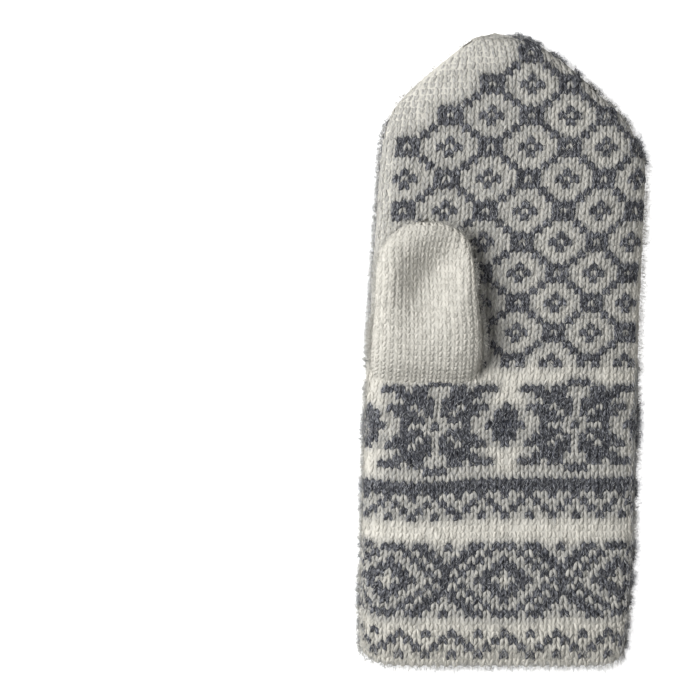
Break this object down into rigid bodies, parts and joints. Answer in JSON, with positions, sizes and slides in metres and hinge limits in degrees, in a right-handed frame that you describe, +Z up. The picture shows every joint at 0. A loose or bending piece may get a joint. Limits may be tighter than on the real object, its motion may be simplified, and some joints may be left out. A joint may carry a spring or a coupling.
{
  "type": "wool mitten",
  "caption": "Adult left-hand mitten knitted in grey and white wool, with a pointed tip, a straight cuff and a plain white thumb, lying flat with its palm up.",
  "frame": {"origin": "middle of the mitten's outline, on the surface that it lies on", "axes": "+X away from the thumb's side, +Y towards the fingertips, +Z up out of the palm"},
  "size_m": [0.1174, 0.2661, 0.0334],
  "materials": {
    "patterned_wool": "stocking stitch in heathered grey and natural white wool, brushed and fuzzy",
    "white_wool": "stocking stitch in natural white wool, brushed and fuzzy",
    "grey_wool": "heathered dark grey wool yarn, brushed and fuzzy"
  },
  "bodies": {
    "root": {"hand": "patterned_wool", "thumb": "white_wool"}
  },
  "joints": []
}
